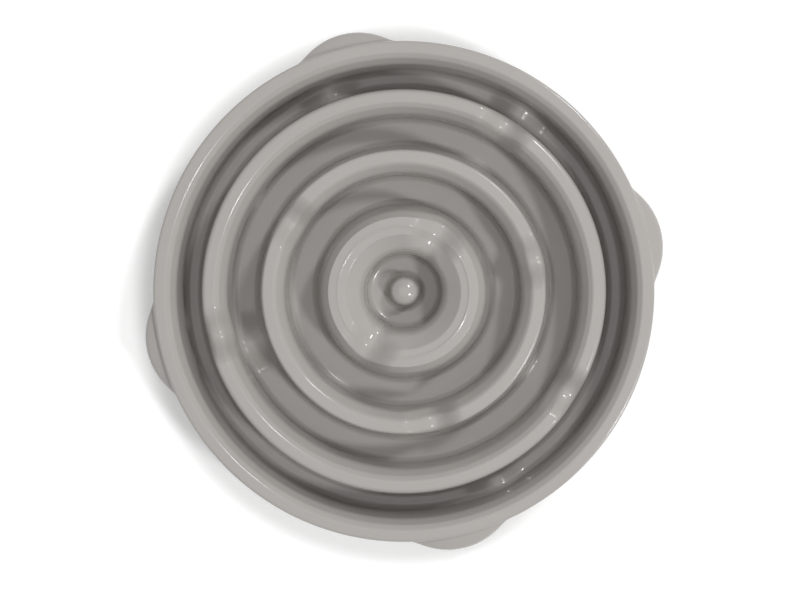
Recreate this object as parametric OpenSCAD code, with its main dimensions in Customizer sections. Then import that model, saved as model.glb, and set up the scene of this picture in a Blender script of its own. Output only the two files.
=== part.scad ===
// Slow feeder bowl: one plastic moulding with three ring ridges, three ring
// channels, a centre well with a peg, and four foot lobes that carry rubber pads.
// Millimetres. The origin is on the table under the middle of the bowl, +Z is up,
// and the lobes point along +X, +Y, -X and -Y.
// Ring widths are given from the centre outward and add up to the rim's radius.

/* [Heights] */
// Top of the rim above the table
rim_z = 51; // [46:0.5:60]
// How far the crowns of the ridges lie below the rim
ridge_drop = 6; // [3:0.5:9]
// Channel floors above the table
floor_z = 12; // [9:0.5:15]
// Lower edge of the skirt above the table
skirt_z = 2.5; // [1.5:0.25:3.5]
// Thickness of the moulded wall
wall = 2.6; // [2:0.1:3]

/* [Centre well and peg] */
// Radius of the peg where it meets the well's floor
peg_base_r = 9.5; // [8.5:0.25:11]
// Radius of the peg's top
peg_top_r = 7.5; // [6:0.1:8]
// Height of the peg above the well's floor
peg_h = 14; // [10:0.5:20]
// Rounding of the edge around the peg's top
peg_round = 3; // [2:0.25:5]
// Radius of the well's floor
well_r = 20.5; // [16:0.5:26]
// Outward lean of the well's wall
well_lean = 1; // [0.5:0.25:2]
// Height of the well's lip above its floor
well_h = 23.5; // [20:0.5:26]

/* [Inner ridge] */
// Width of the slope from the well's lip up to the crown
inner_rise_w = 9; // [6:0.5:14]
// Width of the crown
inner_crown_w = 12; // [8:0.5:14]
// Width of the outer slope
inner_fall_w = 7; // [5:0.5:10]

/* [Middle ridge] */
// Width of the inner slope
middle_rise_w = 5; // [3:0.5:7]
// Width of the crown
middle_crown_w = 8; // [7.5:0.25:11]
// Width of the outer slope
middle_fall_w = 4.5; // [3:0.5:7]

/* [Outer ridge] */
// Width of the inner slope
outer_rise_w = 4.5; // [3:0.5:7]
// Width of the crown
outer_crown_w = 9; // [7.5:0.25:12]
// Width of the outer slope
outer_fall_w = 3.5; // [2:0.5:6]

/* [Channels and rim] */
// Floor width of the inner channel
inner_channel_w = 15; // [12:0.5:20]
// Floor width of the middle channel
middle_channel_w = 14.5; // [12:0.5:20]
// Floor width of the outer channel
outer_channel_w = 10.5; // [10:0.5:16]
// Width of the rim's inner slope
rim_rise_w = 3; // [2:0.25:4]
// Width of the rim
rim_w = 9; // [8:0.25:12]
// How far the outer wall and the lobes widen from the top to the skirt
flare = 2; // [1:0.25:3]

/* [Shoulders] */
// How far a shoulder falls inward from the edge of its crown
shoulder_drop = 5; // [3:0.25:6]
// Rounding where a shoulder turns down into its wall
shoulder_round = 4; // [2:0.5:5]
// Outward lean of the walls under the shoulders
wall_lean = 0.5; // [0.25:0.25:1]

/* [Roundings] */
// Height of each crown's middle over its edges
crown_rise = 1; // [0.75:0.25:2]
// Rounding of the crown edges
edge_round = 2; // [1:0.25:3]
// Fillet where walls meet the floors
floor_round = 3.5; // [2:0.25:5]

/* [Dips in the ridges] */
// Depth of a dip below the crown
dip_depth = 9; // [7:0.5:10.5]
// Half the length of a dip along its ridge
dip_half = 17.5; // [16:0.5:20]
// Steepness of the sides of a dip, in degrees
dip_slope = 42; // [40:1:60]

/* [Humps on the floors] */
// Height of a hump above the floor
hump_h = 8; // [5:0.5:10]
// Half the length of a hump along its channel
hump_half = 16; // [12:0.5:18]

/* [Foot lobes] */
// Reach of a lobe beyond the rim, at its top
lobe_reach = 8; // [5:0.5:12]
// Radius of a lobe in plan, at its top
lobe_r = 38; // [33:0.5:42]
// How far a lobe's top lies below the rim
lobe_drop = 4; // [3.5:0.5:10]
// Rounding of a lobe's top edge
lobe_edge = 3.5; // [2:0.25:4.5]
// Radius of the hollow blend between a lobe and the wall
lobe_blend_r = 8; // [6:0.5:14]

/* [Foot pads] */
// Thickness of a pad, from the table up
pad_t = 4.5; // [4:0.25:6]
// Width of a pad, from its outer end towards the centre
pad_w = 23; // [20:0.5:28]
// Gap between a pad and the lobe around it
pad_gap = 0.3; // [0.1:0.05:0.6]
// Chamfer around a pad's lower edge
pad_chamfer = 0.8; // [0.4:0.1:1.2]
// Radius of the stems that hold a pad
stem_r = 2; // [1.6:0.1:2.2]
// Length of a stem above its pad
stem_h = 9; // [6:0.5:12]
// Gap around a stem in its post
stem_gap = 0.05; // [0.02:0.01:0.1]
// Radius of the posts that take the stems
post_r = 3.8; // [3.4:0.1:4]
// Distance between the two posts of a lobe
post_spread = 22; // [20:0.5:23]
// Space between a post and the lobe's wall
post_gap = 1.2; // [1:0.1:1.5]

/* [Hidden] */

plastic = [0.66, 0.65, 0.63];
rubber = [0.33, 0.33, 0.33];

// Fineness of full circles, and steps in one rounded corner and one crown
$fn = 96;
arc_steps = 4;
crown_steps = 4;
// Longest part of a side that one rounded corner may use
side_share = 0.48;
// How far a cut runs past what it cuts
over = 1;
// How far the lips of a dip end above the crown, so that they meet it at an edge
lip_lift = 0.4;

// Directions of the dips, humps and lobes, in degrees from +X
inner_dips = [45, 225];
middle_dips = [0, 135, 270];
outer_dips = [45, 180, 315];
middle_humps = [185.5];
outer_humps = [44, 97.5, 282.5];
lobe_turns = [0, 90, 180, 270];

// Radii of the rings, from the centre outward
well_lip_r = well_r + well_lean;
inner_crown_r = well_lip_r + inner_rise_w;
inner_edge_r = inner_crown_r + inner_crown_w;
inner_foot_r = inner_edge_r + inner_fall_w;
middle_base_r = inner_foot_r + inner_channel_w;
middle_crown_r = middle_base_r + middle_rise_w;
middle_edge_r = middle_crown_r + middle_crown_w;
middle_foot_r = middle_edge_r + middle_fall_w;
outer_base_r = middle_foot_r + middle_channel_w;
outer_crown_r = outer_base_r + outer_rise_w;
outer_edge_r = outer_crown_r + outer_crown_w;
outer_foot_r = outer_edge_r + outer_fall_w;
wall_foot_r = outer_foot_r + outer_channel_w;
rim_in_r = wall_foot_r + rim_rise_w;
rim_r = rim_in_r + rim_w;
rim_mid_r = rim_r - rim_w / 2;

// Heights that follow from the driving ones
ridge_z = rim_z - ridge_drop;
peg_z = floor_z + peg_h;
well_lip_z = floor_z + well_h;
lobe_z = rim_z - lobe_drop;

// Places of the lobes, their posts and the pads' inner edge
lobe_x = rim_r + lobe_reach - lobe_r;
post_y = post_spread / 2;
post_inset = wall + post_gap + post_r;
post_x = lobe_x + sqrt(pow(lobe_r - post_inset, 2) - pow(post_y, 2));
pad_r = lobe_r + flare - wall - pad_gap;
pad_in_r = lobe_x + pad_r - pad_w;

// Corners of an outline are [radius, height, rounding]
function spot(corner) = [corner[0], corner[1]];
function unit(v) = v / norm(v);
function turned(v, a) = [v[0] * cos(a) - v[1] * sin(a), v[0] * sin(a) + v[1] * cos(a)];
function right_of(v) = [v[1], -v[0]];
function bend(u, v) = atan2(u[0] * v[1] - u[1] * v[0], u * v);

// Crown of a ridge: a shallow arch from its inner edge, rounded as given, outward
function crown(in_r, out_r, z, in_round) = [
    for (k = [0 : crown_steps])
        let (across = 2 * k / crown_steps - 1)
        [
            (in_r + out_r) / 2 + across * (out_r - in_r) / 2,
            z - crown_rise * across * across,
            k == 0 ? in_round : (k == crown_steps ? edge_round : 0)
        ]
];

// Steep wall and shoulder on the inner side of a crown, which it meets at a crease
function shouldered_crown(foot_r, in_r, out_r, z) = concat(
    [
        [foot_r, floor_z, floor_round],
        [foot_r + wall_lean, z - crown_rise - shoulder_drop, shoulder_round]
    ],
    crown(in_r, out_r, z, 0)
);

// Upper face of the bowl, from the peg outward and down the outside to the skirt
upper_corners = concat(
    [
        [0, peg_z, 0],
        [peg_top_r, peg_z, peg_round],
        [peg_base_r, floor_z, floor_round],
        [well_r, floor_z, floor_round],
        [well_lip_r, well_lip_z, edge_round]
    ],
    crown(inner_crown_r, inner_edge_r, ridge_z, edge_round),
    [[inner_foot_r, floor_z, floor_round]],
    shouldered_crown(middle_base_r, middle_crown_r, middle_edge_r, ridge_z),
    [[middle_foot_r, floor_z, floor_round]],
    shouldered_crown(outer_base_r, outer_crown_r, outer_edge_r, ridge_z),
    [[outer_foot_r, floor_z, floor_round]],
    shouldered_crown(wall_foot_r, rim_in_r, rim_r, rim_z),
    [[rim_r + flare, skirt_z, 0]]
);

// One corner replaced by an arc, no longer than its two sides allow
function rounded_corner(before, corner, after) =
    let (
        p = spot(corner),
        u = unit(before - p),
        v = unit(after - p),
        half = acos(u * v) / 2,
        side = min(norm(before - p), norm(after - p)),
        reach = min(corner[2] / tan(half), side_share * side),
        radius = reach * tan(half),
        middle = p + unit(u + v) * radius / sin(half),
        start = p + u * reach - middle,
        sweep = bend(start, p + v * reach - middle)
    )
    [for (k = [0 : arc_steps]) middle + turned(start, sweep * k / arc_steps)];

// Outline with every corner that has a rounding rounded
function rounded(corners) = [
    for (k = [0 : len(corners) - 1])
        each corners[k][2] == 0
            ? [spot(corners[k])]
            : rounded_corner(spot(corners[k - 1]), corners[k], spot(corners[k + 1]))
];

// Corner moved square to both of its sides, into the material
function sunk_corner(corners, k, depth) =
    let (
        last = len(corners) - 1,
        p = spot(corners[k]),
        along_in = unit(p - spot(corners[max(k - 1, 0)])),
        along_out = unit(spot(corners[min(k + 1, last)]) - p),
        first_side = k == 0 ? along_out : along_in,
        last_side = k == last ? along_in : along_out,
        a = right_of(first_side),
        b = right_of(last_side),
        moved = p + depth * (a + b) / (1 + a * b),
        is_crest = bend(first_side, last_side) < 0,
        size = corners[k][2],
        new_size = is_crest ? max(size - depth, 0) : size + depth
    )
    [max(moved[0], 0), moved[1], size == 0 ? 0 : new_size];

hollow_corners = [for (k = [0 : len(upper_corners) - 1]) sunk_corner(upper_corners, k, wall)];
skirt_in_r = hollow_corners[len(hollow_corners) - 1][0];

// Solid of revolution under the upper face, down to the skirt's edge
module filled_rings() {
    rotate_extrude()
        polygon(concat(rounded(upper_corners), [[0, skirt_z]]));
}

// Space under the moulded wall, open at the bottom
module ring_hollow() {
    rotate_extrude()
        polygon(concat(
            rounded(hollow_corners),
            [[skirt_in_r, skirt_z - over], [0, skirt_z - over]]
        ));
}

// Right half of a dip's section, from the bottom of the valley up the ramp and
// over the lip. A margin sinks the whole section below the dip's face.
function half_dip(margin) =
    let (
        ramp_run = dip_depth / tan(dip_slope),
        arc_r = (dip_half - ramp_run) / tan(dip_slope / 2) / 2,
        valley_z = ridge_z + lip_lift - dip_depth + arc_r,
        lip_z = ridge_z + lip_lift - arc_r,
        valley_r = arc_r + margin,
        lip_r = arc_r - margin
    )
    concat(
        [
            for (k = [1 : arc_steps])
                let (a = dip_slope * (k - 0.5) / (arc_steps - 0.5))
                [valley_r * sin(a), valley_z - valley_r * cos(a)]
        ],
        [
            for (k = [arc_steps : -1 : 0])
                let (a = dip_slope * k / arc_steps)
                [dip_half - lip_r * sin(a), lip_z + lip_r * cos(a)]
        ],
        [[dip_half, rim_z + over]]
    );

// Section of a dip across its ridge: a round valley, two ramps and two round lips
module dip_section(margin) {
    right = half_dip(margin);
    left = [for (k = [len(right) - 1 : -1 : 0]) [-right[k][0], right[k][1]]];
    polygon(concat(right, left));
}

// Cut for one dip, lying along the radius from in_r to out_r
module dip_cut(in_r, out_r, margin) {
    translate([in_r, 0, 0])
        rotate([90, 0, 90])
            linear_extrude(out_r - in_r)
                dip_section(margin);
}

// Cuts for all dips. Each runs from the middle of one channel to the next.
module dip_cuts(margin = 0) {
    for (turn = inner_dips)
        rotate(turn)
            dip_cut(peg_base_r, inner_foot_r + inner_channel_w / 2, margin);
    for (turn = middle_dips)
        rotate(turn)
            dip_cut(middle_base_r - inner_channel_w / 2, middle_foot_r + middle_channel_w / 2, margin);
    for (turn = outer_dips)
        rotate(turn)
            dip_cut(outer_base_r - middle_channel_w / 2, outer_foot_r + outer_channel_w / 2, margin);
}

// Flat-bottomed round bar across a channel, whose top stands up as a hump
module hump_bar(in_r, out_r, margin) {
    bar_r = (hump_half * hump_half + hump_h * hump_h) / (2 * hump_h);
    translate([in_r, 0, 0])
        rotate([90, 0, 90])
            linear_extrude(out_r - in_r)
                intersection() {
                    translate([0, floor_z + hump_h - bar_r])
                        circle(r = bar_r - margin);
                    translate([-bar_r, floor_z - wall / 2 - margin])
                        square(2 * bar_r);
                }
}

// Humps on the channel floors. With a margin they are the cores under the humps.
module humps(margin = 0) {
    in_reach = wall - margin;
    out_reach = wall / 2 - margin;
    for (turn = middle_humps)
        rotate(turn)
            hump_bar(middle_foot_r - in_reach, outer_base_r + out_reach, margin);
    for (turn = outer_humps)
        rotate(turn)
            hump_bar(outer_foot_r - in_reach, wall_foot_r + out_reach, margin);
}

// Outer form of one lobe, or with a margin the hollow inside it
module lobe_form(margin) {
    top_z = lobe_z - margin;
    foot_z = margin > 0 ? skirt_z - over : skirt_z;
    top_r = lobe_r - margin;
    corners = [
        [0, top_z, 0],
        [top_r, top_z, max(lobe_edge - margin, edge_round / 2)],
        [top_r + flare, foot_z, 0]
    ];
    translate([lobe_x, 0, 0])
        rotate_extrude()
            polygon(concat(rounded(corners), [[0, foot_z]]));
}

// Solid that fills the notch on one side of a lobe, with a hollow round face
module lobe_blend() {
    rim_side = rim_r + lobe_blend_r;
    lobe_side = lobe_r + lobe_blend_r;
    blend_x = (pow(rim_side, 2) - pow(lobe_side, 2) + pow(lobe_x, 2)) / (2 * lobe_x);
    blend_y = sqrt(pow(rim_side, 2) - pow(blend_x, 2));
    translate([0, 0, skirt_z])
        linear_extrude(lobe_z - lobe_edge - skirt_z)
            difference() {
                polygon([
                    [rim_mid_r * blend_x / rim_side, rim_mid_r * blend_y / rim_side],
                    [blend_x, blend_y],
                    [lobe_x + (blend_x - lobe_x) * side_share, blend_y * side_share]
                ]);
                translate([blend_x, blend_y])
                    circle(r = lobe_blend_r);
            }
}

// What a lobe adds outside the rings
module lobe() {
    difference() {
        union() {
            lobe_form(0);
            lobe_blend();
            mirror([0, 1, 0])
                lobe_blend();
        }
        translate([0, 0, skirt_z - over])
            cylinder(r = rim_mid_r, h = rim_z);
    }
}

// Space inside a lobe, which opens into the hollow of the outer wall
module lobe_hollow() {
    difference() {
        lobe_form(wall);
        translate([0, 0, -over])
            cylinder(r = rim_mid_r, h = rim_z);
    }
}

// Two posts that hang from a lobe's roof and stand on the pad
module posts() {
    for (side = [-1, 1])
        translate([post_x, side * post_y, pad_t])
            cylinder(r = post_r, h = lobe_z - wall / 2 - pad_t);
}

// Blind holes in the posts, for the pad's stems
module stem_holes() {
    for (side = [-1, 1])
        translate([post_x, side * post_y, pad_t - over])
            cylinder(r = stem_r + stem_gap, h = stem_h + over + wall / 2);
}

module bowl() {
    color(plastic)
        difference() {
            union() {
                difference() {
                    union() {
                        filled_rings();
                        humps();
                        for (turn = lobe_turns)
                            rotate(turn)
                                lobe();
                    }
                    dip_cuts();
                    difference() {
                        ring_hollow();
                        dip_cuts(wall);
                    }
                    humps(wall);
                    for (turn = lobe_turns)
                        rotate(turn)
                            lobe_hollow();
                }
                for (turn = lobe_turns)
                    rotate(turn)
                        posts();
            }
            for (turn = lobe_turns)
                rotate(turn)
                    stem_holes();
        }
}

// Crescent rubber pad with two stems, drawn for the lobe on +X
module foot_pad() {
    color(rubber) {
        difference() {
            translate([lobe_x, 0, 0]) {
                cylinder(r1 = pad_r - pad_chamfer, r2 = pad_r, h = pad_chamfer);
                translate([0, 0, pad_chamfer])
                    cylinder(r = pad_r, h = pad_t - pad_chamfer);
            }
            translate([0, 0, -over])
                cylinder(r = pad_in_r, h = pad_t + 2 * over);
        }
        for (side = [-1, 1])
            translate([post_x, side * post_y, pad_t])
                cylinder(r = stem_r, h = stem_h);
    }
}

bowl();
rotate(lobe_turns[0]) foot_pad();  // foot_pad_right
rotate(lobe_turns[1]) foot_pad();  // foot_pad_back
rotate(lobe_turns[2]) foot_pad();  // foot_pad_left
rotate(lobe_turns[3]) foot_pad();  // foot_pad_front
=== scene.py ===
"""Slow feeder bowl: the smooth moulded bowl, its rubber foot pads and a plain studio.

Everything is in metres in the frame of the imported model. The bowl stands on z = 0 with its
middle over the origin, and its foot lobes point along +X, +Y, -X and -Y.
"""

from math import acos, atan2, cos, pi, radians, sin, sqrt, tan, tau

import bmesh
import bpy
import numpy as np
from bpy.props import FloatProperty, FloatVectorProperty, IntProperty, PointerProperty
from bpy.types import Operator, Panel, PropertyGroup
from mathutils import Color, Matrix, Vector


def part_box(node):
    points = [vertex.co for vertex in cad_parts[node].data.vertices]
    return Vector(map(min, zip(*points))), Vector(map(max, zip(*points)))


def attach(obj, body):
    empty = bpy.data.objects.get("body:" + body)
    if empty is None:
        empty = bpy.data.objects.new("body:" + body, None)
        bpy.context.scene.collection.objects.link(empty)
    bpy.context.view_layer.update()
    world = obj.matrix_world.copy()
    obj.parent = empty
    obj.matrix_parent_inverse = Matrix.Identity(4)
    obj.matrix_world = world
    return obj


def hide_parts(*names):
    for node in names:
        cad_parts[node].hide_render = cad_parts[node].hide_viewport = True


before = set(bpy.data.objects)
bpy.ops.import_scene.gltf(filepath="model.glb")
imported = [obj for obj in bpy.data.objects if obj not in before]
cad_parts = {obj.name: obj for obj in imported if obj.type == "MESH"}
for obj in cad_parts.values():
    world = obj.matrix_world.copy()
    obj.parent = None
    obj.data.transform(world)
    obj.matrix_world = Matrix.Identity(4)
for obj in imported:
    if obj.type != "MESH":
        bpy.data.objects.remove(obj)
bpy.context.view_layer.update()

bl_info = {
    "name": "Slow feeder bowl",
    "version": (1, 0, 0),
    "blender": (4, 5, 0),
    "location": "3D View > Sidebar > Feeder bowl",
    "description": "Builds a slow feeder bowl with rubber foot pads and a plain studio",
    "category": "Object",
}

MM = 0.001
BODY = "root"

# Directions of the dips, humps and lobes, in degrees from +X
INNER_DIPS = (45, 225)
MIDDLE_DIPS = (0, 135, 270)
OUTER_DIPS = (45, 180, 315)
MIDDLE_HUMPS = (185.5,)
OUTER_HUMPS = (44, 97.5, 282.5)
PAD_TURNS = {"right": 0, "back": 90, "left": 180, "front": 270}

# Limits that keep outlines sound where two corners almost meet
TINY = 0.01 * MM
SHORTEST = TINY / 10
SIDE_SHARE = 0.98

# How finely the pieces are divided: steps of roundings and circles, and shares of straight sides
CORNER_STEPS = 6
LOBE_CREASE_STEPS = 4
HOLLOW_STEPS = 3
FACE_SHARES = (0.08, 0.5, 0.92)
HOLLOW_SHARES = (0.1, 0.5, 0.9)
QUARTER_STEPS = 4
POST_STEPS = 48
STEM_STEPS = 32
PAD_STEPS = 48
TIP_STEPS = 10

# Share of a grip groove's half length over which its end fades out
GROOVE_FADE = 0.12

# Patterns in the plastic and the rubber: waves in a metre, and levels of detail
CLOUD_SCALE, CLOUD_DETAIL = 25.0, 3.0
GRAIN_SCALE, GRAIN_DETAIL = 1500.0, 2.0
SMUDGE_SCALE, SMUDGE_DETAIL = 60.0, 2.0
RING_SCALE, RING_DETAIL = 900.0, 2.0
PEBBLE_SCALE, PEBBLE_DETAIL = 1200.0, 3.0
PLASTIC_IOR = 1.49

# The picture: its size and the bowl's middle in pixels, and the camera's sensor in millimetres
IMAGE_W, IMAGE_H = 800, 600
BOWL_PX = Vector((403.0, 292.5))
SENSOR_W = 36.0
NEAR_CLIP, FAR_CLIP = 0.05, 50.0

WHITE = (1.0, 1.0, 1.0, 1.0)
PAPER_WHITE = (0.9, 0.9, 0.9, 1.0)
FLOOR_HALF = 4.0


# Sizes and finishes that a user may change


def length(name, description, default, high=0.3):
    """A size in metres, shown in the scene's unit."""
    return FloatProperty(
        name=name, description=description, default=default, min=0.0, max=high,
        subtype="DISTANCE", unit="LENGTH", precision=5,
    )


def slope(name, description, default):
    """An angle in radians, shown in degrees."""
    return FloatProperty(
        name=name, description=description, default=radians(default), min=0.0, max=pi,
        subtype="ANGLE", unit="ROTATION",
    )


def share(name, description, default, high=1.0):
    """A plain factor."""
    return FloatProperty(
        name=name, description=description, default=default, min=0.0, max=high,
        subtype="FACTOR",
    )


def colour(name, description, default):
    """A colour in sRGB."""
    return FloatVectorProperty(
        name=name, description=description, default=default, size=3, min=0.0, max=1.0,
        subtype="COLOR_GAMMA",
    )


BOWL_LOW, BOWL_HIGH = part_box("bowl")


class FeederBowlShape(PropertyGroup):
    """Sizes of the moulded bowl."""

    rim_z: length("Rim height", "Top of the rim above the table", BOWL_HIGH.z)
    skirt_z: length("Skirt height", "Lower edge of the skirt above the table", BOWL_LOW.z)
    lobe_span: length("Lobe reach", "Outer end of a lobe, at its foot", BOWL_HIGH.x)
    ridge_drop: length("Ridge drop", "How far the ridges lie below the rim", 6 * MM)
    floor_z: length("Floor height", "Channel floors above the table", 12 * MM)
    wall: length("Wall", "Thickness of the moulded wall", 2.6 * MM)

    peg_base_r: length("Peg foot", "Radius of the peg at the well's floor", 9.5 * MM)
    peg_top_r: length("Peg top", "Radius of the peg's top", 7.5 * MM)
    peg_h: length("Peg height", "Height of the peg above the well's floor", 14 * MM)
    peg_round: length("Peg rounding", "Rounding of the edge around the peg's top", 3 * MM)
    peg_flat_r: length("Peg crown", "Radius at which the peg's top bends down", 3 * MM)
    peg_flat_drop: length("Peg crown drop", "Fall of the peg's top to that bend", 0.2 * MM)
    peg_dome: length("Peg dome", "Rounding of that bend", 8 * MM)
    peg_rise: length("Peg rise", "Height of the peg's middle over its edge", 2.2 * MM)
    well_r: length("Well", "Radius of the well's floor", 20.5 * MM)
    well_lean: length("Well lean", "Outward lean of the well's wall", 1 * MM)
    well_h: length("Well depth", "Height of the well's lip above its floor", 23.5 * MM)

    inner_rise_w: length("Inner rise", "Slope from the well's lip to the crown", 10 * MM)
    inner_crown_w: length("Inner crown", "Width of the inner crown", 9.5 * MM)
    inner_fall_w: length("Inner fall", "Width of the inner ridge's outer slope", 8.5 * MM)
    middle_rise_w: length("Middle rise", "Width of the middle ridge's inner slope", 5 * MM)
    middle_crown_w: length("Middle crown", "Width of the middle crown", 8 * MM)
    middle_fall_w: length("Middle fall", "Width of the middle ridge's outer slope", 4.5 * MM)
    outer_rise_w: length("Outer rise", "Width of the outer ridge's inner slope", 4.5 * MM)
    outer_crown_w: length("Outer crown", "Width of the outer crown", 9.3 * MM)
    outer_fall_w: length("Outer fall", "Width of the outer ridge's outer slope", 3.2 * MM)
    inner_channel_w: length("Inner channel", "Floor width of the inner channel", 15 * MM)
    middle_channel_w: length("Middle channel", "Floor width of the middle channel", 14.5 * MM)
    outer_channel_w: length("Outer channel", "Floor width of the outer channel", 10 * MM)
    rim_rise_w: length("Rim rise", "Width of the rim's inner slope", 3.5 * MM)
    rim_w: length("Rim width", "Width of the rim", 9 * MM)
    flare: length("Flare", "How far the outside widens down to the skirt", 2 * MM)

    crown_slope: slope("Crown slope", "Rise of the crowns from their inner creases", 38)
    bend_round: length("Bend rounding", "Rounding where a crown's rise levels out", 2.0 * MM)
    inner_slope: slope("Inner slope", "Rise of the inner crown to its bead", 8)
    inner_bend_w: length("Inner bend", "Width of the inner crown's rise", 4.5 * MM)
    bead_w: length("Bead half width", "Half the width of the bead on the inner crown", 0.7 * MM)
    bead_rise: length("Bead rise", "Height of the bead over its inner foot", 0.45 * MM)
    bead_fall: length("Bead fall", "Height of the bead over its outer foot", 0.32 * MM)
    bead_round: length("Bead rounding", "Rounding of the bead and its feet", 1.1 * MM)
    middle_bend_w: length("Middle bend", "Width of the middle crown's rise", 1.4 * MM)
    outer_bend_w: length("Outer bend", "Width of the outer crown's rise", 2.4 * MM)
    rim_bend_w: length("Rim bend", "Width of the rim's rise", 2.6 * MM)
    crown_fall: length("Crown fall", "How far a crown falls outward from its bend", 0.3 * MM)
    inner_fall: length("Inner crown fall", "How far the inner crown falls outward", 0.8 * MM)
    inner_round: length("Inner edge", "Rounding of the inner crown's outer edge", 0.4 * MM)
    middle_round: length("Middle edge", "Rounding of the middle crown's outer edge", 1.7 * MM)
    outer_round: length("Outer edge", "Rounding of the outer crown's outer edge", 2.6 * MM)
    rim_round: length("Rim edge", "Rounding of the rim's outer edge", 1.5 * MM)
    fall_w: length("Inner shoulder", "Width of the shoulder outside the inner crown", 4 * MM)
    fall_drop: length("Inner shoulder drop", "How far that shoulder falls outward", 4.6 * MM)
    wall_lean: length("Wall lean", "Outward lean of the walls under the shoulders", 0.5 * MM)
    shoulder_drop: length("Shoulder drop", "How far a shoulder falls below its crown", 5 * MM)
    shoulder_round: length("Shoulder rounding", "Rounding where a shoulder turns down", 7 * MM)
    crease_round: length("Crease rounding", "Rounding between a crown and its shoulder", 5 * MM)
    inner_crease: length("Inner crease", "Rounding of the inner crown's inner edge", 1 * MM)
    lip_blend: length("Lip blend", "Width over which a dip fades out at the well's lip", 2 * MM)
    lip_round: length("Lip rounding", "Rounding of the well's lip", 9 * MM)
    floor_round: length("Floor fillet", "Fillet where walls meet the floors", 3.5 * MM)
    hollow_round: length("Hollow rounding", "Least rounding of the underside's edges", 0.3 * MM)

    dip_depth: length("Dip depth", "Depth of a dip below the crown", 9 * MM)
    dip_half: length("Dip half length", "Half the length of a dip along its ridge", 16.5 * MM)
    dip_soften: length("Dip softening", "Extra rounding of the edges in a dip", 2.5 * MM)
    hump_h: length("Hump height", "Height of a hump above the floor", 8 * MM)
    hump_half: length("Hump half length", "Half the length of a hump's foot", 20 * MM)

    lobe_r: length("Lobe radius", "Radius of a lobe in plan, at its top", 38 * MM)
    lobe_drop: length("Lobe drop", "How far a lobe's top lies below the rim", 3 * MM)
    lobe_fall: length("Lobe fall", "How far a lobe's top falls to its edge", 2.4 * MM)
    lobe_edge: length("Lobe edge", "Rounding of a lobe's top edge", 3.5 * MM)
    lobe_crease: length("Lobe crease", "Fillet between a lobe's top and the rim", 1.5 * MM)
    lobe_blend_r: length("Lobe blend", "Hollow blend between a lobe and the wall", 8 * MM)

    turns: IntProperty(
        name="Turns", description="Steps round the bowl's outer rings",
        default=480, min=96, max=1440,
    )


class FeederPadShape(PropertyGroup):
    """Sizes of the rubber pads and the posts that hold them."""

    pad_t: length("Pad thickness", "Thickness of a pad, from the table up", 4.5 * MM)
    pad_w: length("Pad width", "Width of a pad towards the centre", 23 * MM)
    pad_gap: length("Pad gap", "Gap between a pad and the lobe around it", 0.3 * MM)
    pad_round: length("Pad rounding", "Rounding of a pad's edges", 0.8 * MM)
    tip_round: length("Tip rounding", "Rounding of a pad's two tips, seen from above", 2 * MM)
    groove_depth: length("Groove depth", "Depth of the grip grooves under a pad", 0.5 * MM)
    groove_w: length("Groove width", "Width of a grip groove", 1.6 * MM)
    stem_r: length("Stem radius", "Radius of the stems that hold a pad", 2 * MM)
    stem_round: length("Stem rounding", "Rounding of a stem's tip", 0.6 * MM)
    stem_gap: length("Stem gap", "Gap around a stem in its post", 0.05 * MM)
    post_r: length("Post radius", "Radius of the posts that take the stems", 3.8 * MM)
    post_round: length("Post rounding", "Rounding of a post's lower edges", 0.4 * MM)
    stem_h: length("Stem length", "Length of a stem above its pad", 9 * MM)
    post_gap: length("Post gap", "Space between a post and the lobe's wall", 1.2 * MM)
    post_spread: length("Post spread", "Distance between the two posts of a lobe", 22 * MM)
    grooves: IntProperty(
        name="Grooves", description="Grip grooves under each pad", default=4, min=1, max=8,
    )


class FeederFinish(PropertyGroup):
    """Colours and surface of the plastic and the rubber."""

    plastic: colour("Plastic", "Warm mid grey of the moulding", (0.664, 0.6485, 0.634))
    plastic_gloss: share("Plastic roughness", "Roughness of the satin plastic", 0.17)
    gloss_spread: share("Roughness spread", "How far the plastic's roughness varies", 0.1)
    mottle: share("Mottle", "Strength of the cloudy change in the plastic's tone", 0.03)
    grain_depth: length("Grain depth", "Height of the plastic's fine grain", 0.006 * MM)
    ring_marks: share("Ring marks", "Strength of the fine rings left by the turned mould", 0.6)
    rubber: colour("Rubber", "Dark grey of the pads", (0.2, 0.2, 0.2))
    rubber_gloss: share("Rubber roughness", "Roughness of the rubber", 0.75)
    pebble_tone: share("Pebble tone", "How far the rubber's tone varies with its grain", 0.15)
    pebble_depth: length("Pebble depth", "Height of the rubber's pebbled grain", 0.05 * MM)
    pebble_relief: share("Pebble relief", "Strength of the rubber's pebbled grain", 0.6)


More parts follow.
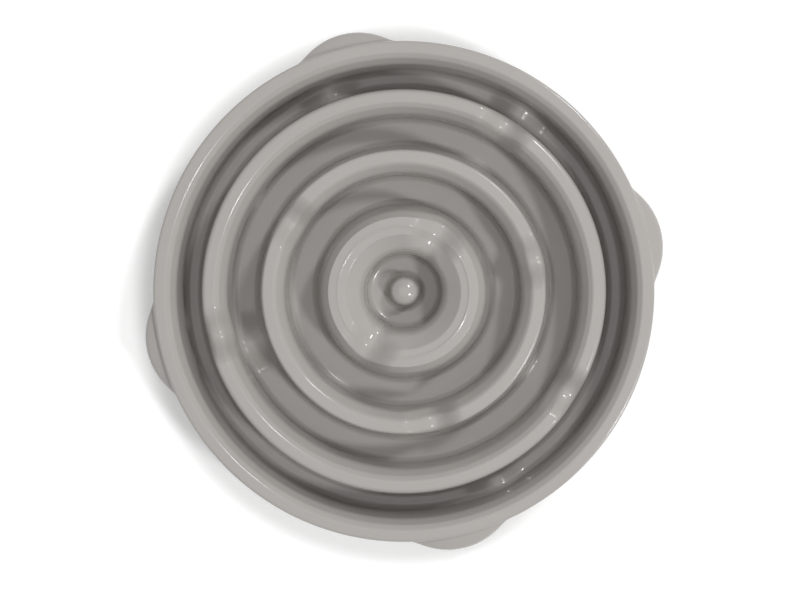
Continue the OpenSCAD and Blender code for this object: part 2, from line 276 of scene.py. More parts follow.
class FeederStudio(PropertyGroup):
    """Camera, lamps and floor."""

    camera_h: length("Camera height", "Height of the lens above the table", 1.05, 5.0)
    camera_right: length("Camera right", "Lens to the right of the bowl's middle", 20 * MM)
    camera_up: length("Camera up", "Lens above the bowl's middle in the view", 27 * MM)
    bowl_turn: slope("Bowl turn", "Turn of the +X lobe in the view", 13.3)
    pixel: length("Pixel", "Width of one pixel at the rim", 0.5419 * MM)
    key_turn: slope("Key direction", "Direction of the key lamp in the view", 47)
    side_turn: slope("Side direction", "Direction of the side lamp in the view", 328)
    lamp_tilt: slope("Lamp tilt", "Angle of the key and side lamps from straight above", 38)
    lamp_far: length("Lamp distance", "Distance of the lamps from the bowl", 3.0, 5.0)
    lamp_w: length("Lamp width", "Width of the key and side lamps", 0.42, 2.0)
    top_w: length("Top lamp width", "Width of the soft lamp straight above", 2.4, 5.0)
    key_level: share("Key level", "Share of the light from the key lamp", 0.22)
    side_level: share("Side level", "Share of the light from the side lamp", 0.26)
    top_level: share("Top level", "Share of the light from the lamp above", 0.08)
    sky_level: share("Sky level", "Share of the light from all round", 0.44)
    # Painted light on the floor: white that the camera and reflections see, weaker near the bowl
    # and full farther out, washes out the bowl's cast shadow away from its foot
    floor_glow: share("Floor glow", "White that the camera sees added to the floor", 0.5)
    near_glow: share("Near glow", "White that it sees added close to the bowl", 0.16)
    glow_from: length("Glow from", "Distance from the middle at which the glow grows", 0.146)
    glow_to: length("Glow to", "Distance from the middle at which the glow is full", 0.16)
    glow_shift: length("Glow shift", "How far the glow's middle lies from the bowl's", 4 * MM)
    glow_turn: slope("Glow turn", "Direction of that shift in the view", 285)


# Outlines


def along(direction, distance):
    """The vectors of an array times a distance for each."""
    return direction * np.asarray(distance)[..., None]


def unit(vectors):
    """The vectors of an array at length one."""
    return vectors / np.linalg.norm(vectors, axis=-1, keepdims=True)


def smooth_step(x):
    """A rise from 0 to 1 with flat ends."""
    x = np.clip(x, 0, 1)
    return x * x * (3 - 2 * x)


def softer_min(a, b, width):
    """The smaller of two heights, blended where they are closer than a width."""
    near = np.clip(1 - np.abs(a - b) / width, 0, 1)
    return np.minimum(a, b) - near * near * width / 4


class Outline:
    """A section made of corners, each an array over all directions round the bowl."""

    def __init__(self, turns):
        self.turns = turns
        self.points, self.rounding, self.steps = [], [], []

    def corner(self, radius, height, rounding=0.0, steps=CORNER_STEPS):
        """Adds one corner with the radius of its rounding and the steps in it."""
        level = np.zeros_like(self.turns)
        self.points.append(np.stack([radius + level, height + level], axis=-1))
        self.rounding.append(rounding + level)
        self.steps.append(steps)

    def traced(self, side_shares):
        """Rounds the corners and adds points at shares of the straight sides."""
        p = np.array(self.points)
        sides = p[1:] - p[:-1]
        lengths = np.maximum(np.linalg.norm(sides, axis=-1), SHORTEST)
        ahead = sides / lengths[..., None]
        inner_turn = np.clip((ahead[:-1] * ahead[1:]).sum(axis=-1), -1, 1)
        tangent = np.tan(np.arccos(inner_turn) / 2)
        wanted = np.zeros(p.shape[:2])
        wanted[1:-1] = np.array(self.rounding)[1:-1] * tangent
        both = np.maximum(wanted[1:] + wanted[:-1], SHORTEST)
        room = np.minimum(1, SIDE_SHARE * lengths / both)
        room_at = np.ones(p.shape[:2])
        room_at[1:-1] = np.minimum(room[1:], room[:-1])
        reach = wanted * room_at
        rows = []
        for k in range(len(p)):
            rounded = 0 < k < len(p) - 1 and self.steps[k] > 0 and self.rounding[k].max() > 0
            if rounded:
                start = p[k] - along(ahead[k - 1], reach[k])
                end = p[k] + along(ahead[k], reach[k])
                weight = np.sqrt((1 + inner_turn[k - 1]) / 2)[..., None]
                for t in np.linspace(0, 1, self.steps[k] + 1):
                    a, b, c = (1 - t) ** 2, 2 * t * (1 - t) * weight, t * t
                    rows.append((a * start + b * p[k] + c * end) / (a + b + c))
            else:
                rows.append(p[k])
            if k < len(p) - 1:
                start = p[k] + along(ahead[k], reach[k])
                end = p[k + 1] - along(ahead[k], reach[k + 1])
                rows += [start + s * (end - start) for s in side_shares]
        return rows

    def sunk(self, depth, least_round, steps):
        """The outline moved square to its sides, to the right of its direction."""
        p = np.array(self.points)
        ahead = unit(p[1:] - p[:-1])
        right = np.stack([ahead[..., 1], -ahead[..., 0]], axis=-1)
        before = np.concatenate([right[:1], right])
        after = np.concatenate([right, right[-1:]])
        meet = (before * after).sum(axis=-1)[..., None]
        moved = p + depth * (before + after) / (1 + meet)
        turn = before[..., 0] * after[..., 1] - before[..., 1] * after[..., 0]
        made = Outline(self.turns)
        for k, point in enumerate(moved):
            crest = turn[k].mean() < 0
            rounding = self.rounding[k] - depth if crest else self.rounding[k] + depth
            rounding = np.maximum(rounding, least_round)
            made.corner(np.maximum(point[:, 0], 0), point[:, 1], rounding, steps)
        return made


def lathe_points(row, turns):
    """A section's point at every direction, as places in the frame."""
    radius, height = row[:, 0], row[:, 1]
    return np.stack([radius * np.cos(turns), radius * np.sin(turns), height], axis=-1)


# Meshes


class Skin:
    """Vertices and faces of one closed surface, made ring by ring."""

    def __init__(self):
        self.vertices, self.faces, self.count = [], [], 0

    def ring(self, points):
        """Adds a ring of points and returns the numbers of its vertices."""
        numbers = np.arange(self.count, self.count + len(points))
        self.vertices.append(points)
        self.count += len(points)
        return numbers

    def bridge(self, a, b):
        """Joins a ring to one of equal count, of half or twice as many points, or to a point."""
        if len(a) == 1:
            self.faces += [(a[0], b[j], b[(j + 1) % len(b)]) for j in range(len(b))]
        elif len(b) == 1:
            self.faces += [(a[j], b[0], a[(j + 1) % len(a)]) for j in range(len(a))]
        elif len(a) == len(b):
            n = len(a)
            self.faces += [(a[j], b[j], b[(j + 1) % n], a[(j + 1) % n]) for j in range(n)]
        elif len(b) == 2 * len(a):
            n = len(a)
            for j in range(n):
                k, after = (j + 1) % n, b[(2 * j + 2) % len(b)]
                self.faces += [
                    (a[j], b[2 * j], b[2 * j + 1]),
                    (a[j], b[2 * j + 1], a[k]),
                    (a[k], b[2 * j + 1], after),
                ]
        else:
            n = len(b)
            for j in range(n):
                k, after = (j + 1) % n, a[(2 * j + 2) % len(a)]
                self.faces += [
                    (a[2 * j], b[j], a[2 * j + 1]),
                    (a[2 * j + 1], b[j], b[k]),
                    (a[2 * j + 1], b[k], after),
                ]

    def loft(self, rings):
        """Joins a row of rings, each to the next."""
        numbers = [self.ring(r) for r in rings]
        for a, b in zip(numbers, numbers[1:]):
            self.bridge(a, b)

    def strip(self, a, b):
        """Joins two open rows of vertices."""
        self.faces += [(a[j], a[j + 1], b[j + 1], b[j]) for j in range(len(a) - 1)]

    def piece(self, name, material):
        """Makes the object, with close points merged and all faces smooth."""
        mesh = bpy.data.meshes.new(name)
        places = np.concatenate(self.vertices).tolist()
        mesh.from_pydata(places, [], [tuple(map(int, face)) for face in self.faces])
        work = bmesh.new()
        work.from_mesh(mesh)
        bmesh.ops.remove_doubles(work, verts=work.verts, dist=TINY)
        bmesh.ops.dissolve_degenerate(work, edges=work.edges, dist=SHORTEST)
        bmesh.ops.recalc_face_normals(work, faces=work.faces)
        for face in work.faces:
            face.smooth = True
        work.to_mesh(mesh)
        work.free()
        mesh.materials.append(material)
        obj = bpy.data.objects.new(name, mesh)
        bpy.context.scene.collection.objects.link(obj)
        return obj


# The bowl's form


class BowlForm:
    """Works out the bowl's section in every direction from its sizes."""

    def __init__(self, shape, turns, beaded=True):
        self.s, self.turns, self.beaded = shape, turns, beaded
        self.ridge_z = shape.rim_z - shape.ridge_drop
        self.rim_r = sum((
            shape.well_r, shape.well_lean,
            shape.inner_rise_w, shape.inner_crown_w, shape.inner_fall_w, shape.inner_channel_w,
            shape.middle_rise_w, shape.middle_crown_w, shape.middle_fall_w,
            shape.middle_channel_w,
            shape.outer_rise_w, shape.outer_crown_w, shape.outer_fall_w, shape.outer_channel_w,
            shape.rim_rise_w, shape.rim_w,
        ))
        self.lobe_x = shape.lobe_span - shape.flare - shape.lobe_r

    def bumps(self, radius, directions, half):
        """A smooth bump at each direction, as wide everywhere as measured across the radius."""
        total = np.zeros_like(self.turns)
        for direction in directions:
            offset = self.turns - radians(direction)
            across = np.abs(radius * np.sin(offset)) / half
            ahead = np.cos(offset) > 0
            total = np.maximum(total, np.where(ahead, smooth_step(1 - across), 0))
        return total

    def dip(self, radius, dips):
        """How deep in a dip each direction lies at a radius, from 0 to 1."""
        return self.bumps(radius, dips, self.s.dip_half)

    def floor(self, radius, humps):
        """Height of a channel floor."""
        return self.s.floor_z + self.s.hump_h * self.bumps(radius, humps, self.s.hump_half)

    def wall_at(self, foot_r, top_r, top_z, height):
        """Radius of a leaning wall at a height."""
        return foot_r + (top_r - foot_r) * (height - self.s.floor_z) / (top_z - self.s.floor_z)

    def rise(self, outline, foot_in, edge_in, top_z, bend_w, dips, humps):
        """Adds the inner side of a ridge or of the rim, from its foot to its crown's bend."""
        s = self.s
        crease_z = top_z - bend_w * tan(s.crown_slope)
        wall_top = (foot_in + s.wall_lean, crease_z - s.shoulder_drop)
        floor_z = self.floor(foot_in, humps)
        outline.corner(self.wall_at(foot_in, *wall_top, floor_z), floor_z, s.floor_round)
        dip = self.dip(edge_in, dips)
        edge_z = crease_z - s.dip_depth * dip
        shoulder_z = edge_z - s.shoulder_drop
        shoulder_r = self.wall_at(foot_in, *wall_top, shoulder_z)
        outline.corner(shoulder_r, shoulder_z, s.shoulder_round)
        outline.corner(edge_in, edge_z, s.crease_round + s.dip_soften * dip)
        bend_r = edge_in + bend_w
        dip = self.dip(bend_r, dips)
        outline.corner(bend_r, top_z - s.dip_depth * dip, s.bend_round + s.dip_soften * dip)

    def fall(self, outline, edge_out, foot_out, edge_round, dips, humps):
        """Adds the outer side of a ridge, from its crown's edge to its foot."""
        s = self.s
        wall_top = (edge_out, self.ridge_z - s.crown_fall)
        dip = self.dip(edge_out, dips)
        edge_z = wall_top[1] - s.dip_depth * dip
        edge_r = self.wall_at(foot_out, *wall_top, edge_z)
        outline.corner(edge_r, edge_z, edge_round + s.dip_soften * dip)
        floor_z = self.floor(foot_out, humps)
        outline.corner(self.wall_at(foot_out, *wall_top, floor_z), floor_z, s.floor_round)

    def inner_ridge(self, outline, edge_in, edge_out, foot_out):
        """Adds the wide inner crown with its bead, its outer shoulder and its outer foot."""
        s = self.s
        edge_z = self.ridge_z - s.bead_rise - (s.inner_bend_w - s.bead_w) * tan(s.inner_slope)
        dip = self.dip(edge_in, INNER_DIPS)
        soft = s.inner_crease + s.dip_soften * dip
        outline.corner(edge_in, edge_z - s.dip_depth * dip, soft)

        bead_r = edge_in + s.inner_bend_w
        dip = self.dip(bead_r, INNER_DIPS)
        bead_z = self.ridge_z - s.dip_depth * dip
        if self.beaded:
            foot_z = bead_z - s.bead_rise * (1 - dip)
            outline.corner(bead_r - s.bead_w, foot_z, s.bead_round)
        outline.corner(bead_r, bead_z, s.bead_round + s.dip_soften * dip)
        if self.beaded:
            foot_z = bead_z - s.bead_fall * (1 - dip)
            outline.corner(bead_r + s.bead_w, foot_z, s.bead_round)

        dip = self.dip(edge_out, INNER_DIPS)
        edge_z = self.ridge_z - s.inner_fall - s.dip_depth * dip
        shoulder_z = edge_z - s.fall_drop
        wall_top = (edge_out + s.fall_w, self.ridge_z - s.inner_fall - s.fall_drop)
        shoulder_r = self.wall_at(foot_out, *wall_top, shoulder_z)
        outline.corner(shoulder_r - s.fall_w, edge_z, s.inner_round + s.dip_soften * dip)
        outline.corner(shoulder_r, shoulder_z, s.shoulder_round)
        outline.corner(foot_out, s.floor_z, s.floor_round)

    def outside(self, outline):
        """Adds the crease beside the rim, the lobes' tops and the outer wall."""
        s = self.s
        extra = self.lobe_extra()
        whole = np.clip(extra / s.lobe_edge, 0, 1)
        crease_z = s.rim_z - s.lobe_drop
        lean = s.flare * s.lobe_drop / (s.rim_z - s.skirt_z)
        edge_r = self.rim_r + lean + extra
        outline.corner(self.rim_r + lean, crease_z, s.lobe_crease, LOBE_CREASE_STEPS)
        outline.corner(edge_r, crease_z - s.lobe_fall * whole, s.lobe_edge)
        outline.corner(edge_r + s.flare - lean, s.skirt_z)

    def outline(self):
        """The whole upper face, from the peg outward and down the outside to the skirt."""
        s = self.s
        o = Outline(self.turns)
        peg_z = s.floor_z + s.peg_h
        o.corner(0, peg_z)
        o.corner(s.peg_flat_r, peg_z - s.peg_flat_drop, s.peg_dome)
        o.corner(s.peg_top_r, peg_z - s.peg_rise, s.peg_round)
        o.corner(s.peg_base_r, s.floor_z, s.floor_round)
        o.corner(s.well_r, s.floor_z, s.floor_round)

        lip_r, lip_top = s.well_r + s.well_lean, s.floor_z + s.well_h
        dip_z = self.ridge_z - s.dip_depth * self.dip(lip_r, INNER_DIPS)
        lip_z = softer_min(lip_top, dip_z, s.lip_blend)
        o.corner(self.wall_at(s.well_r, lip_r, lip_top, lip_z), lip_z, s.lip_round)

        edge_in = lip_r + s.inner_rise_w
        edge_out = edge_in + s.inner_crown_w
        foot_out = edge_out + s.inner_fall_w
        self.inner_ridge(o, edge_in, edge_out, foot_out)

        foot_in = foot_out + s.inner_channel_w
        edge_in = foot_in + s.middle_rise_w
        edge_out = edge_in + s.middle_crown_w
        foot_out = edge_out + s.middle_fall_w
        self.rise(o, foot_in, edge_in, self.ridge_z, s.middle_bend_w, MIDDLE_DIPS, ())
        self.fall(o, edge_out, foot_out, s.middle_round, MIDDLE_DIPS, MIDDLE_HUMPS)

        foot_in = foot_out + s.middle_channel_w
        edge_in = foot_in + s.outer_rise_w
        edge_out = edge_in + s.outer_crown_w
        foot_out = edge_out + s.outer_fall_w
        self.rise(o, foot_in, edge_in, self.ridge_z, s.outer_bend_w, OUTER_DIPS, MIDDLE_HUMPS)
        self.fall(o, edge_out, foot_out, s.outer_round, OUTER_DIPS, OUTER_HUMPS)

        foot_in = foot_out + s.outer_channel_w
        edge_in = foot_in + s.rim_rise_w
        self.rise(o, foot_in, edge_in, s.rim_z, s.rim_bend_w, (), OUTER_HUMPS)
        o.corner(self.rim_r, s.rim_z - s.crown_fall, s.rim_round)
        self.outside(o)
        return o

    def lobe_extra(self):
        """How far the lobes stand out past the wall in every direction."""
        s, rim_r, lobe_x = self.s, self.rim_r, self.lobe_x
        rim_side, lobe_side = rim_r + s.lobe_blend_r, s.lobe_r + s.lobe_blend_r
        blend_cos = (rim_side ** 2 + lobe_x ** 2 - lobe_side ** 2) / (2 * rim_side * lobe_x)
        blend_turn = acos(blend_cos)
        blend_at = Vector((rim_side * cos(blend_turn), rim_side * sin(blend_turn)))
        touch = Vector((lobe_x, 0)) + (blend_at - Vector((lobe_x, 0))) * s.lobe_r / lobe_side
        touch_turn = touch.angle_signed(Vector((1, 0)))
        quarter_turn = pi / 2
        offset = np.abs((self.turns + quarter_turn / 2) % quarter_turn - quarter_turn / 2)
        lobe_root = np.maximum(s.lobe_r ** 2 - (lobe_x * np.sin(offset)) ** 2, 0)
        lobe_at = lobe_x * np.cos(offset) + np.sqrt(lobe_root)
        lag = blend_turn - offset
        blend_root = np.maximum(s.lobe_blend_r ** 2 - (rim_side * np.sin(lag)) ** 2, 0)
        blend_r = rim_side * np.cos(lag) - np.sqrt(blend_root)
        reach = np.where(offset < blend_turn, blend_r, rim_r)
        reach = np.where(offset < touch_turn, lobe_at, reach)
        return np.maximum(reach - rim_r, TINY)


def make_bowl_skin(shape, pads):
    """The bowl's closed surface: upper face, skirt edge, underside and posts."""
    turns = np.arange(shape.turns) * tau / shape.turns
    few = turns[::2]
    upper = BowlForm(shape, turns).outline()
    hollow = BowlForm(shape, few, beaded=False).outline()
    hollow = hollow.sunk(shape.wall, shape.hollow_round, HOLLOW_STEPS)
    coarse_r = shape.well_r + shape.well_lean + shape.inner_rise_w + shape.inner_crown_w

    rings = []
    for row in upper.traced(FACE_SHARES):
        points = lathe_points(row, turns)
        rings.append(points[::2] if row[:, 0].max() < coarse_r else points)
    rings += [lathe_points(row, few) for row in reversed(hollow.traced(HOLLOW_SHARES))]
    skin = Skin()
    skin.loft([ring[:1] if np.abs(ring[:, :2]).max() < TINY else ring for ring in rings])
    for turn in PAD_TURNS.values():
        for place in PadForm(shape, pads).stem_places(radians(turn)):
            skin.loft(post_rings(shape, pads, place))
    return skin


# The pads, their stems and the posts that take them


def raised(flat, height):
    """Places in plan, lifted to a height or to one height each."""
    return np.column_stack([flat, height + np.zeros(len(flat))])


def spun(section, place, steps):
    """Rings round an upright line at a place, one for each [radius, height] of a section."""
    turns = np.arange(steps) * tau / steps
    circle = np.stack([np.cos(turns), np.sin(turns)], axis=-1)
    rings = []
    for radius, height in section:
        flat = np.array(place) + radius * (circle if radius > 0 else circle[:1] * 0)
        rings.append(raised(flat, height))
    return rings


def quarter(middle, radius, start):
    """Points of a quarter circle in a section, turning to the left from a direction in degrees."""
    angles = np.radians(start + np.linspace(0, 90, QUARTER_STEPS + 1))
    return [(middle[0] + radius * cos(a), middle[1] + radius * sin(a)) for a in angles]


def post_rings(shape, pads, place):
    """A post with a blind hole, from the pad up into the lobe's roof."""
    hole_r = pads.stem_r + pads.stem_gap
    hole_top = pads.pad_t + pads.stem_h + shape.wall / 2
    roof = shape.rim_z - shape.lobe_drop - shape.wall / 2
    soft = pads.post_round
    low = pads.pad_t
    section = [(0, hole_top), (hole_r, hole_top), (hole_r, low + soft)]
    section += quarter((hole_r + soft, low + soft), soft, 180)[1:]
    section += quarter((pads.post_r - soft, low + soft), soft, 270)
    section += [(pads.post_r, roof), (0, roof)]
    return spun(section, place, POST_STEPS)


class PadForm:
    """Works out the crescent of a pad and the places of its stems, for the lobe on +X."""

    def __init__(self, shape, pads):
        self.pads = pads
        self.lobe_x = shape.lobe_span - shape.flare - shape.lobe_r
        self.pad_r = shape.lobe_r + shape.flare - shape.wall - pads.pad_gap
        self.pad_in_r = self.lobe_x + self.pad_r - pads.pad_w
        post_out = shape.lobe_r - shape.wall - pads.post_gap - pads.post_r
        self.post_y = pads.post_spread / 2
        self.post_x = self.lobe_x + sqrt(post_out ** 2 - self.post_y ** 2)

    def stem_places(self, turn):
        """Where the two stems stand under the lobe in one direction."""
        turned = Matrix.Rotation(turn, 2)
        return [turned @ Vector((self.post_x, side * self.post_y)) for side in (-1, 1)]

    def border(self, inset):
        """The crescent's outer arc, tip, inner arc and second tip, moved inward by an inset."""
        tip = self.pads.tip_round
        far, near = self.pad_in_r + tip, self.pad_r - tip
        inner_cos = (far ** 2 + self.lobe_x ** 2 - near ** 2) / (2 * far * self.lobe_x)
        inner_half = acos(inner_cos)
        tip_at = np.array([far * cos(inner_half), far * sin(inner_half)])
        outer_half = atan2(tip_at[1], tip_at[0] - self.lobe_x)

        def arc(middle, radius, first, last, count):
            angles = np.linspace(first, last, count + 1)
            return np.array(middle) + radius * np.stack([np.cos(angles), np.sin(angles)], axis=-1)

        outer = arc((self.lobe_x, 0), self.pad_r - inset, -outer_half, outer_half, PAD_STEPS)
        inner = arc((0, 0), self.pad_in_r + inset, inner_half, -inner_half, PAD_STEPS)
        end = arc(tip_at, tip - inset, outer_half, inner_half + pi, TIP_STEPS)[1:-1]
        return outer, end, inner, end[::-1] * (1, -1)


def groove_rows(form, pads):
    """Rows of places across a pad's sole, from its outer to its inner arc, with the grooves."""
    outer, _, inner, _ = form.border(pads.pad_round)
    across = inner[::-1] - outer
    fade = smooth_step((1 - np.abs(np.linspace(-1, 1, PAD_STEPS + 1))) / GROOVE_FADE)
    half = pads.groove_w / pads.pad_w / 2
    rows = []
    for groove in range(pads.grooves):
        middle = (groove + 0.5) / pads.grooves
        for offset, deep in ((-half, 0), (-half / 2, 1), (half / 2, 1), (half, 0)):
            flat = outer + across * (middle + offset)
            rows.append(raised(flat, pads.groove_depth * deep * fade))
    return rows


def make_pad_skin(shape, pads, turn):
    """A crescent pad with rounded edges, grip grooves underneath and two stems."""
    form = PadForm(shape, pads)
    soft = pads.pad_round
    low_edge = quarter((soft, soft), soft, 180)[::-1]
    high_edge = quarter((soft, pads.pad_t - soft), soft, 90)[::-1]
    skin = Skin()
    rings = [
        skin.ring(raised(np.concatenate(form.border(inset)), height))
        for inset, height in low_edge + high_edge
    ]
    for a, b in zip(rings, rings[1:]):
        skin.bridge(a, b)

    grooved = [skin.ring(row) for row in groove_rows(form, pads)]
    cuts = np.cumsum([PAD_STEPS + 1, TIP_STEPS - 1, PAD_STEPS + 1])
    for ring, between in ((rings[0], grooved), (rings[-1], [])):
        outer, tip_a, inner, tip_b = np.split(ring, cuts)
        rows = [outer, *between, inner[::-1]]
        for a, b in zip(rows, rows[1:]):
            skin.strip(a, b)
        skin.faces.append((outer[-1], *tip_a, *(row[-1] for row in rows[:0:-1])))
        skin.faces.append((inner[-1], *tip_b, *(row[0] for row in rows[:-1])))

    top, tip = pads.pad_t + pads.stem_h, pads.stem_round
    section = [(0, soft), (pads.stem_r, soft)]
    section += quarter((pads.stem_r - tip, top - tip), tip, 0) + [(0, top)]
    for place in form.stem_places(0):
        skin.loft(spun(section, place, STEM_STEPS))
    turned = np.array(Matrix.Rotation(turn, 3, "Z"))
    skin.vertices = [points @ turned.T for points in skin.vertices]
    return skin


class FEEDER_OT_bowl(Operator):
    """Build the moulded bowl"""

    bl_idname = "feeder.bowl"
    bl_label = "Build bowl"

    def execute(self, context):
        scene = context.scene
        skin = make_bowl_skin(scene.feeder_bowl, scene.feeder_pads)
        bowl = skin.piece("moulded_bowl", plastic_material(scene.feeder_finish))
        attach(bowl, BODY)
        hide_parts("bowl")
        return {"FINISHED"}


class FEEDER_OT_pads(Operator):
    """Build the four rubber foot pads"""

    bl_idname = "feeder.pads"
    bl_label = "Build foot pads"

    def execute(self, context):
        scene = context.scene
        rubber = rubber_material(scene.feeder_finish)
        for side, turn in PAD_TURNS.items():
            skin = make_pad_skin(scene.feeder_bowl, scene.feeder_pads, radians(turn))
            pad = skin.piece(f"rubber_pad_{side}", rubber)
            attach(pad, BODY)
            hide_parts(f"foot_pad_{side}")
        return {"FINISHED"}


# Materials


class Signal:
    """A socket of a shader that takes part in Python sums."""

    def __init__(self, shader, socket):
        self.shader, self.socket = shader, socket

    def math(self, operation, *values):
        return self.shader.add("ShaderNodeMath", {"operation": operation}, dict(enumerate(values)))

    def __add__(self, other):
        return self.math("ADD", self, other)

    def __radd__(self, other):
        return self.math("ADD", other, self)

    def __sub__(self, other):
        return self.math("SUBTRACT", self, other)

    def __rsub__(self, other):
        return self.math("SUBTRACT", other, self)

    def __mul__(self, other):
        return self.math("MULTIPLY", self, other)

    def __rmul__(self, other):
        return self.math("MULTIPLY", other, self)


class Shader:
    """The nodes of a material or world, built from the surface up."""

    def __init__(self, owner):
        owner.use_nodes = True
        self.owner, self.tree = owner, owner.node_tree
        self.tree.nodes.clear()

    def add(self, kind, settings=None, inputs=None, output=0):
        """Adds a node, sets it up, feeds its sockets and returns one output."""
        node = self.tree.nodes.new(kind)
        for name, value in (settings or {}).items():
            setattr(node, name, value)
        for key, value in (inputs or {}).items():
            if isinstance(value, Signal):
                self.tree.links.new(value.socket, node.inputs[key])
            else:
                node.inputs[key].default_value = value
        return Signal(self, node.outputs[output])

    def finish(self, surface, kind="ShaderNodeOutputMaterial"):
        """Feeds the output and returns the material or world."""
        output = self.tree.nodes.new(kind)
        self.tree.links.new(surface.socket, output.inputs["Surface"])
        return self.owner

    def seen(self):
        """One where the camera sees a surface, also by way of gloss or glass."""
        rays = ("Is Camera Ray", "Is Glossy Ray", "Is Transmission Ray")
        return sum(self.add("ShaderNodeLightPath", output=ray) for ray in rays)

    def radius(self, place):
        """Distance of a place from the upright line through the bowl's middle."""
        x, y = (self.add("ShaderNodeSeparateXYZ", None, {"Vector": place}, axis) for axis in "XY")
        return x.math("SQRT", x * x + y * y)

    def noise(self, place, scale, detail):
        """Cloudy values around one half."""
        inputs = {"Vector": place, "Scale": scale, "Detail": detail}
        return self.add("ShaderNodeTexNoise", {"noise_dimensions": "3D"}, inputs)

    def tones(self, pattern, base, spread):
        """A colour that a pattern makes darker and lighter by a share."""
        inputs = {"Factor": pattern, "A": scaled(base, 1 - spread), "B": scaled(base, 1 + spread)}
        return self.add("ShaderNodeMix", {"data_type": "RGBA"}, inputs, output="Result")


def linear(rgb):
    """An sRGB colour in linear light, with full alpha."""
    return (*Color(rgb).from_srgb_to_scene_linear(), 1.0)


def scaled(rgba, factor):
    """A linear colour made lighter or darker."""
    return (*(min(c * factor, 1.0) for c in rgba[:3]), 1.0)


def plastic_material(finish):
    """Satin moulded plastic with a faint cloudy tone and a fine grain."""
    sh = Shader(bpy.data.materials.new("satin_plastic"))
    place = sh.add("ShaderNodeTexCoord", output="Object")
    base = linear(finish.plastic)
    cloud = sh.noise(place, CLOUD_SCALE, CLOUD_DETAIL)
    tone = sh.tones(cloud, base, finish.mottle)
    grain = sh.noise(place, GRAIN_SCALE, GRAIN_DETAIL)
    smudge = sh.noise(place, SMUDGE_SCALE, SMUDGE_DETAIL)
    rings = sh.add(
        "ShaderNodeTexNoise", {"noise_dimensions": "1D"},
        {"W": sh.radius(place), "Scale": RING_SCALE, "Detail": RING_DETAIL},
    )
    relief = grain + finish.ring_marks * rings
    bump = sh.add(
        "ShaderNodeBump", None,
        {"Strength": 1.0, "Distance": finish.grain_depth, "Height": relief},
    )
    surface = sh.add(
        "ShaderNodeBsdfPrincipled", None,
        {
            "Base Color": tone,
            "Roughness": finish.plastic_gloss + finish.gloss_spread * (smudge - 0.5),
            "IOR": PLASTIC_IOR,
            "Normal": bump,
        },
    )
    return sh.finish(surface)


def rubber_material(finish):
    """Matt rubber with a fine pebbled grain."""
    sh = Shader(bpy.data.materials.new("pad_rubber"))
    place = sh.add("ShaderNodeTexCoord", output="Object")
    base = linear(finish.rubber)
    pebble = sh.noise(place, PEBBLE_SCALE, PEBBLE_DETAIL)
    tone = sh.tones(pebble, base, finish.pebble_tone)
    bump = sh.add(
        "ShaderNodeBump", None,
        {"Strength": finish.pebble_relief, "Distance": finish.pebble_depth, "Height": pebble},
    )
    surface = sh.add(
        "ShaderNodeBsdfPrincipled", None,
        {"Base Color": tone, "Roughness": finish.rubber_gloss, "Normal": bump},
    )
    return sh.finish(surface)


# Studio


def in_view(right, up, turn):
    """A direction of the view, in the frame."""
    return Vector((right * cos(turn) + up * sin(turn), -right * sin(turn) + up * cos(turn)))


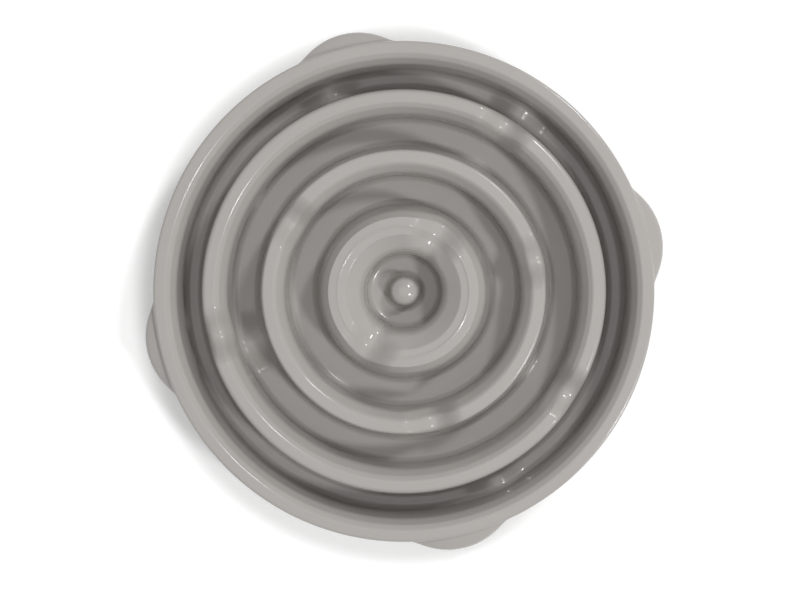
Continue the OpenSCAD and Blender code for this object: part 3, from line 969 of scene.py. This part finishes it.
class FEEDER_OT_studio(Operator):
    """Set up the camera, the lamps and the floor"""

    bl_idname = "feeder.studio"
    bl_label = "Set up studio"

    def execute(self, context):
        scene = context.scene
        self.place_camera(scene)
        self.place_lamps(scene)
        self.lay_floor(scene)
        self.light_world(scene)
        scene.view_settings.view_transform = "Standard"
        return {"FINISHED"}

    def place_camera(self, scene):
        studio, rim_z = scene.feeder_studio, scene.feeder_bowl.rim_z
        aside = (IMAGE_W / 2 - BOWL_PX.x) * studio.pixel
        above = (BOWL_PX.y - IMAGE_H / 2) * studio.pixel
        turn = studio.bowl_turn
        aim = in_view(aside, above, turn).to_3d() + Vector((0, 0, rim_z))
        lens_at = in_view(studio.camera_right, studio.camera_up, turn).to_3d()
        lens_at.z = studio.camera_h
        back = (lens_at - aim).normalized()
        up = in_view(0, 1, turn).to_3d()
        right = up.cross(back).normalized()
        up = back.cross(right)
        data = bpy.data.cameras.new("camera")
        data.sensor_width = SENSOR_W
        data.lens = SENSOR_W * (lens_at - aim).length / (IMAGE_W * studio.pixel)
        data.clip_start, data.clip_end = NEAR_CLIP, FAR_CLIP
        camera = bpy.data.objects.new("camera", data)
        pointing = Matrix((right, up, back)).transposed().to_4x4()
        camera.matrix_world = Matrix.Translation(lens_at) @ pointing
        scene.collection.objects.link(camera)
        scene.camera = camera

    def place_lamps(self, scene):
        studio = scene.feeder_studio
        for name, view_turn, tilt, width, level in (
            ("key_lamp", studio.key_turn, studio.lamp_tilt, studio.lamp_w, studio.key_level),
            ("side_lamp", studio.side_turn, studio.lamp_tilt, studio.lamp_w, studio.side_level),
            ("top_lamp", 0, 0, studio.top_w, studio.top_level),
        ):
            flat = in_view(cos(view_turn), sin(view_turn), studio.bowl_turn) * sin(tilt)
            towards = Vector((flat.x, flat.y, cos(tilt)))
            data = bpy.data.lights.new(name, "AREA")
            data.shape = "DISK"
            data.size = width
            # More power from further off or at a slant, so that the share of light is the same
            data.energy = level * pi * pi * studio.lamp_far ** 2 / cos(tilt)
            lamp = bpy.data.objects.new(name, data)
            lamp.location = towards * studio.lamp_far
            lamp.rotation_mode = "QUATERNION"
            lamp.rotation_quaternion = towards.to_track_quat("Z", "Y")
            scene.collection.objects.link(lamp)

    def lay_floor(self, scene):
        half = FLOOR_HALF
        mesh = bpy.data.meshes.new("floor")
        corners = [(-half, -half, 0), (half, -half, 0), (half, half, 0), (-half, half, 0)]
        mesh.from_pydata(corners, [], [(0, 1, 2, 3)])
        sh = Shader(bpy.data.materials.new("white_floor"))
        paper = sh.add("ShaderNodeBsdfDiffuse", None, {"Color": PAPER_WHITE})
        studio = scene.feeder_studio
        # Painted light: a glow seen only by the camera and in reflections whitens the floor and
        # hides the bowl's cast shadow away from it, weaker near the bowl so that the shadow shows
        # there
        level = sh.add(
            "ShaderNodeMapRange", {"interpolation_type": "SMOOTHSTEP"},
            {
                "Value": sh.radius(sh.add("ShaderNodeTexCoord", output="Object")),
                "From Min": studio.glow_from, "From Max": studio.glow_to,
                "To Min": studio.near_glow, "To Max": studio.floor_glow,
            },
        )
        none, full = (
            sh.add("ShaderNodeEmission", None, {"Color": WHITE, "Strength": strength})
            for strength in (0.0, 1.0)
        )
        glow = sh.add("ShaderNodeMixShader", None, {0: sh.seen() * level, 1: none, 2: full})
        mesh.materials.append(sh.finish(sh.add("ShaderNodeAddShader", None, {0: paper, 1: glow})))
        floor = bpy.data.objects.new("floor", mesh)
        # The glow's middle, moved off the bowl's, keeps the painted light weaker on one side,
        # where the cast shadow shows wider
        shift = in_view(cos(studio.glow_turn), sin(studio.glow_turn), studio.bowl_turn)
        floor.location = (shift * studio.glow_shift).to_3d()
        scene.collection.objects.link(floor)

    def light_world(self, scene):
        sh = Shader(bpy.data.worlds.new("studio_world"))
        level = scene.feeder_studio.sky_level
        background = sh.add(
            "ShaderNodeBackground", None,
            {"Color": WHITE, "Strength": level + (1 - level) * sh.seen()},
        )
        scene.world = sh.finish(background, "ShaderNodeOutputWorld")


class FEEDER_PT_panel(Panel):
    """Lists the steps that build the bowl"""

    bl_idname = "FEEDER_PT_panel"
    bl_label = "Feeder bowl"
    bl_space_type = "VIEW_3D"
    bl_region_type = "UI"
    bl_category = "Feeder bowl"

    def draw(self, context):
        for operator in OPERATORS:
            self.layout.operator(operator.bl_idname)


OPERATORS = (FEEDER_OT_bowl, FEEDER_OT_pads, FEEDER_OT_studio)
GROUPS = {
    "feeder_bowl": FeederBowlShape,
    "feeder_pads": FeederPadShape,
    "feeder_finish": FeederFinish,
    "feeder_studio": FeederStudio,
}


def register():
    for cls in (*GROUPS.values(), *OPERATORS, FEEDER_PT_panel):
        bpy.utils.register_class(cls)
    for name, group in GROUPS.items():
        setattr(bpy.types.Scene, name, PointerProperty(type=group))


def unregister():
    for name in GROUPS:
        delattr(bpy.types.Scene, name)
    for cls in (FEEDER_PT_panel, *OPERATORS, *GROUPS.values()):
        bpy.utils.unregister_class(cls)


def main():
    """Builds the scene step by step."""
    register()
    bpy.ops.feeder.bowl()
    bpy.ops.feeder.pads()
    bpy.ops.feeder.studio()


if __name__ == "__main__":
    main()
